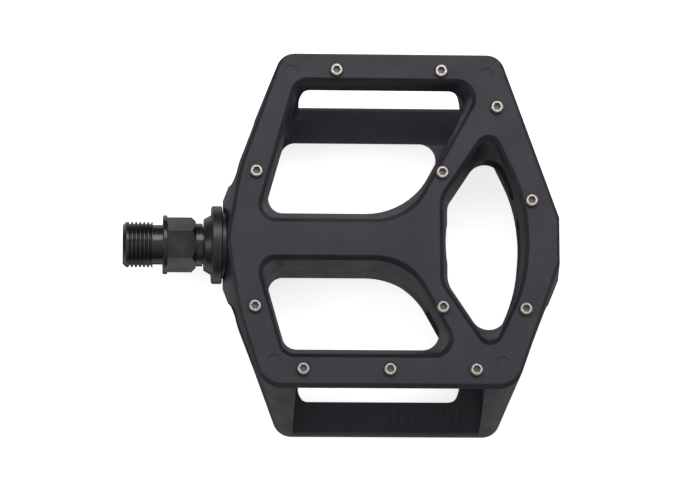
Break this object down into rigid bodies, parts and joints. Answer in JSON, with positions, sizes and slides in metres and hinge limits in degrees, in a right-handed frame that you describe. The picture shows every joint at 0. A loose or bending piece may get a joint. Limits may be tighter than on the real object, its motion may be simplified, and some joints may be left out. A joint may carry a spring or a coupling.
{
  "type": "flat platform pedal",
  "caption": "Flat platform pedal: a hexagonal open cage with stud grip pins on both faces, turning on a sealed ball-bearing spindle with a wrench hex and a threaded crank end.",
  "frame": {"origin": "on the spindle axis, in the plane of the flange face that bears on the crank arm", "axes": "-X along the spindle out of the thread, towards the crank; +X towards the platform's outer end; Y fore and aft; +Z out of the upper shoe face"},
  "size_m": [0.1373, 0.118, 0.031],
  "materials": {
    "cast_black": "satin",
    "black_oxide_steel": "black oxide, satin",
    "seal_rubber": "matte",
    "collar_black": "satin",
    "bearing_steel": "ground",
    "ball_steel": "polished",
    "zinc_steel": "zinc plated",
    "cap_plastic": "matte",
    "pin_steel": "bright"
  },
  "bodies": {
    "spindle": {"spindle": "black_oxide_steel", "outboard_cone": "bearing_steel", "lock_washer": "zinc_steel", "lock_nut": "zinc_steel"},
    "platform": {"pedal_body": "cast_black", "dust_collar": "collar_black", "inboard_seal": "seal_rubber", "inboard_cup": "bearing_steel", "outboard_cup": "bearing_steel", "end_cap": "cap_plastic", "end_cap_o_ring": "seal_rubber", "top_pin_01": "pin_steel", "top_pin_02": "pin_steel", "top_pin_03": "pin_steel", "top_pin_04": "pin_steel", "top_pin_05": "pin_steel", "top_pin_06": "pin_steel", "top_pin_07": "pin_steel", "top_pin_08": "pin_steel", "top_pin_09": "pin_steel", "top_pin_10": "pin_steel", "top_pin_11": "pin_steel", "top_pin_12": "pin_steel", "bottom_pin_01": "pin_steel", "bottom_pin_02": "pin_steel", "bottom_pin_03": "pin_steel", "bottom_pin_04": "pin_steel", "bottom_pin_05": "pin_steel", "bottom_pin_06": "pin_steel", "bottom_pin_07": "pin_steel", "bottom_pin_08": "pin_steel", "bottom_pin_09": "pin_steel", "bottom_pin_10": "pin_steel", "bottom_pin_11": "pin_steel", "bottom_pin_12": "pin_steel"},
    "inboard_balls": {"inboard_ball_ring": "ball_steel"},
    "outboard_balls": {"outboard_ball_ring": "ball_steel"}
  },
  "joints": [
    {"name": "platform_spin", "type": "hinge", "parent": "spindle", "child": "platform", "pos_m": [0, 0, 0], "axis": [1, 0, 0], "continuous": true},
    {"name": "inboard_ball_orbit", "type": "hinge", "parent": "spindle", "child": "inboard_balls", "pos_m": [0.0236, 0, 0], "axis": [1, 0, 0], "continuous": true},
    {"name": "outboard_ball_orbit", "type": "hinge", "parent": "spindle", "child": "outboard_balls", "pos_m": [0.069, 0, 0], "axis": [1, 0, 0], "continuous": true}
  ],
  "couplings": [
    {"joint": "inboard_ball_orbit", "follows": "platform_spin", "ratio": 0.5865},
    {"joint": "outboard_ball_orbit", "follows": "platform_spin", "ratio": 0.5903}
  ]
}
